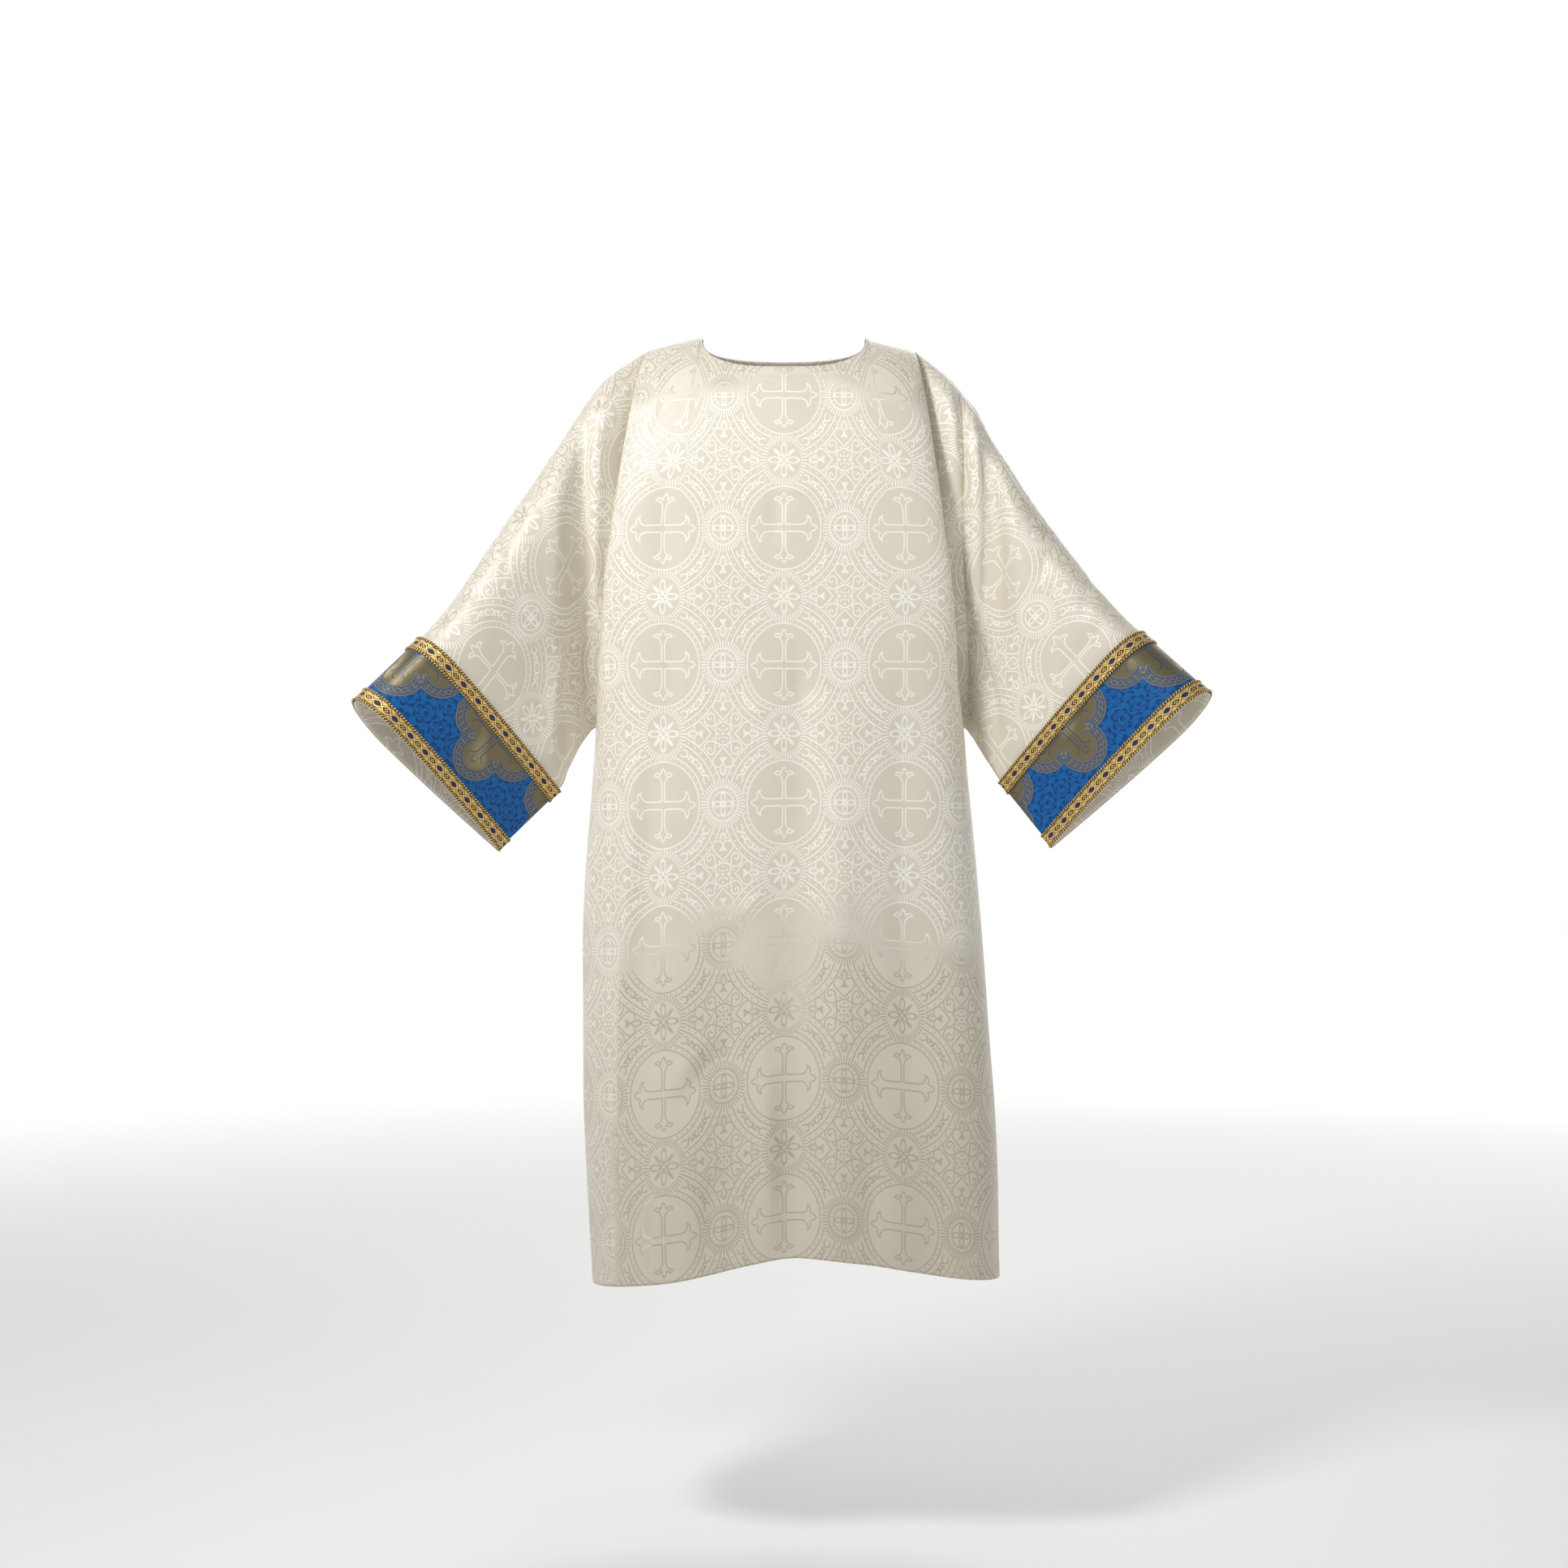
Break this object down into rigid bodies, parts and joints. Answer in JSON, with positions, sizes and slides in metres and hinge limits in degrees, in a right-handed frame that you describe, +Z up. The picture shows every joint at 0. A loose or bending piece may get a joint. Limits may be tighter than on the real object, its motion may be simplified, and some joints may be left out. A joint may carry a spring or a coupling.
{
  "type": "dalmatic",
  "caption": "Knee-length straight vestment with a boat neck and wide lowered sleeves, damask cloth with brocade cuffs edged in braid, hollow as worn.",
  "frame": {"origin": "midway along the shoulder line, level with the neck points, where the wearer's shoulders carry the garment", "axes": "+Z up along the hanging body, -Y out of the front, +X towards the wearer's left sleeve"},
  "size_m": [1.0691, 0.3797, 1.2246],
  "materials": {
    "damask": "ivory damask with a satin figure",
    "brocade": "royal blue brocade with olive-gold medallions",
    "braid": "gold galloon braid with dark blue lozenges"
  },
  "bodies": {
    "root": {"front": "damask", "back": "damask", "sleeve_right_front": "damask", "sleeve_right_back": "damask", "sleeve_left_front": "damask", "sleeve_left_back": "damask", "cuff_band_right": "brocade", "cuff_band_left": "brocade", "braid_right_upper": "braid", "braid_right_lower": "braid", "braid_left_upper": "braid", "braid_left_lower": "braid"}
  },
  "joints": []
}
